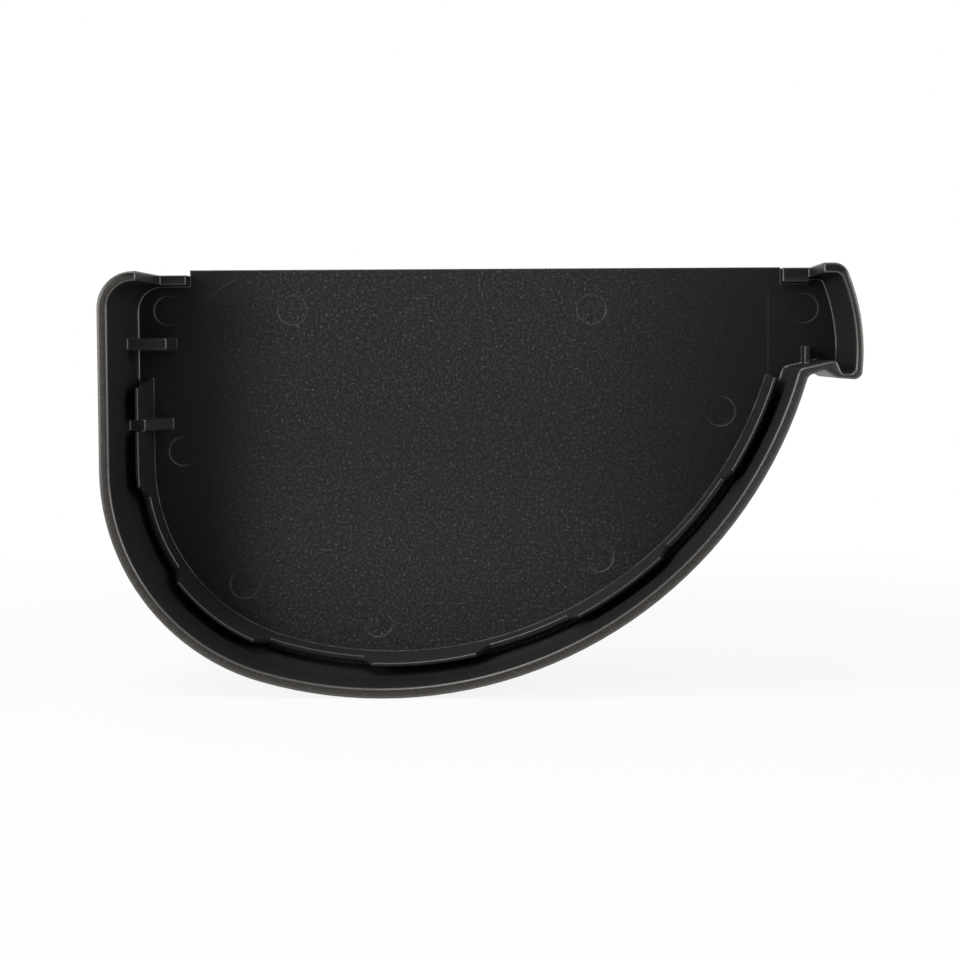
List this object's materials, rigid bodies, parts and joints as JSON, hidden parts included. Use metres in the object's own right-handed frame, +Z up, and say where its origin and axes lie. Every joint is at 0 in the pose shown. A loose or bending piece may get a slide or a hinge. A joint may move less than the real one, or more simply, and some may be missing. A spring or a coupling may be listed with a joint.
{
  "type": "gutter end cap",
  "caption": "Dark grey moulded end cap that closes a bowl-shaped rain gutter, with a deep skirt, a hooked pocket for the front bead and an inner rib.",
  "frame": {"origin": "on the plate's inner face, at mid-width of the bowl, level with the top of the hook", "axes": "+X across the width towards the hooked bead side, +Y out of the closed side, away from the gutter, +Z up"},
  "size_m": [0.1472, 0.03, 0.0842],
  "materials": {
    "body": "dark grey moulded plastic, lightly stippled plate and smoother walls"
  },
  "bodies": {
    "root": {"end_cap": "body"}
  },
  "joints": []
}
